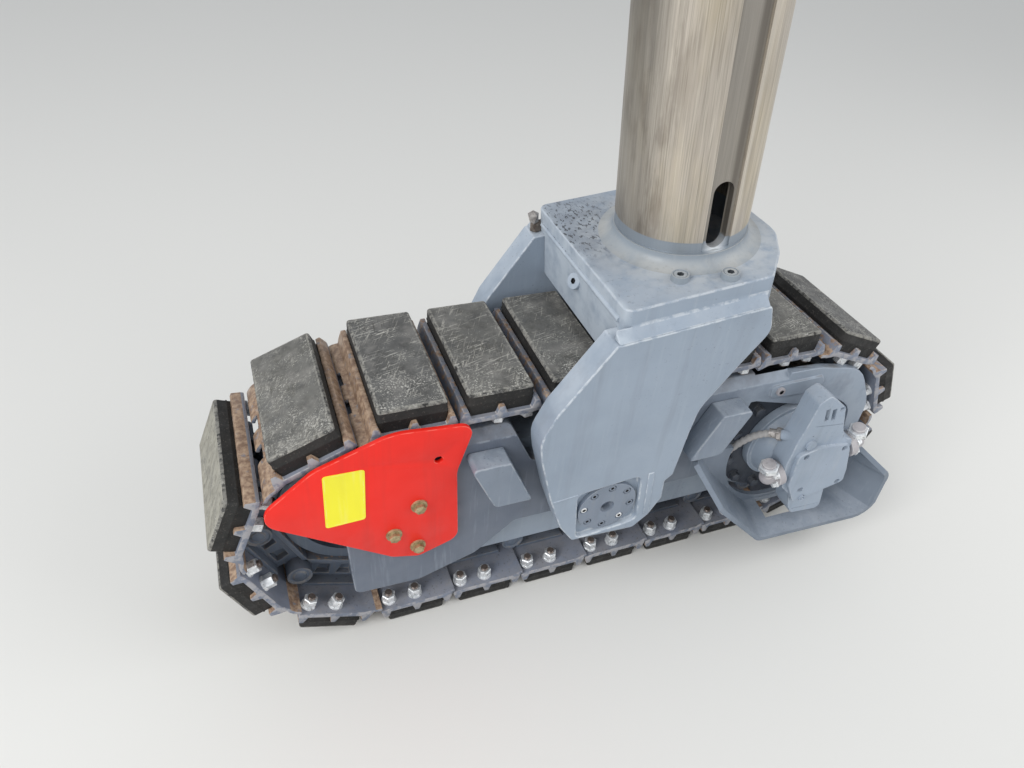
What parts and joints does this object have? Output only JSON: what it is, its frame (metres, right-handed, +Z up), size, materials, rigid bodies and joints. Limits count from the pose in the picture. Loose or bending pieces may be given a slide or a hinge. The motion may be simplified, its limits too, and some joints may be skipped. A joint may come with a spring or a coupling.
{
  "type": "crawler track unit with lifting column",
  "caption": "Crawler track unit of a cold planer: padded track shoes on a roller frame, hydraulic drive, guards, and a swinging fork with a round lifting column.",
  "frame": {"origin": "on the ground, under the middle of the track", "axes": "+X along the track towards the drive end, +Y across to the side without the motor, +Z up"},
  "size_m": [1.349, 0.415, 1.7133],
  "materials": {
    "grey_paint": "semi-gloss light blue-grey paint",
    "shoe_paint": "thin grey paint on steel, rusty at the worn edges",
    "dark_paint": "dirty grey paint",
    "cast_paint": "grey paint on rough cast iron",
    "pin_paint": "grey paint on turned steel",
    "red_paint": "semi-gloss signal red paint",
    "worn_steel": "worn, rusty",
    "bare_steel": "bare machined steel, drawn with vertical marks",
    "zinc": "zinc plated",
    "polyurethane": "scuffed dark polyurethane",
    "hose_wrap": "grey spiral wrap, dusty"
  },
  "bodies": {
    "track_unit": {"track_frame": "grey_paint", "side_box_near": "grey_paint", "side_box_far": "grey_paint", "idler_yoke": "grey_paint", "tensioner": "grey_paint", "idler_wheel": "worn_steel", "idler_axle": "bare_steel", "bottom_rollers": "worn_steel", "roller_axles": "bare_steel", "chain_links": "worn_steel", "track_shoes": "shoe_paint", "shoe_pads": "polyurethane", "sprocket": "worn_steel", "final_drive": "dark_paint", "motor_housing": "cast_paint", "motor_valve_block": "cast_paint", "port_elbow_front": "zinc", "port_elbow_rear": "zinc", "drain_hose": "hose_wrap", "motor_guard": "grey_paint", "idler_guard": "red_paint", "stop_near_front": "grey_paint", "stop_near_rear": "grey_paint", "stop_far_front": "grey_paint", "stop_far_rear": "grey_paint"},
    "leg": {"arm_near": "grey_paint", "arm_far": "grey_paint", "crown": "grey_paint", "collar": "grey_paint", "column": "bare_steel", "pivot_pin_near": "pin_paint", "pivot_pin_far": "pin_paint"}
  },
  "joints": [
    {"name": "pendulum", "type": "hinge", "parent": "track_unit", "child": "leg", "pos_m": [-0.014, 0, 0.272], "axis": [0, 1, 0], "range_deg": [-4, 16]}
  ]
}
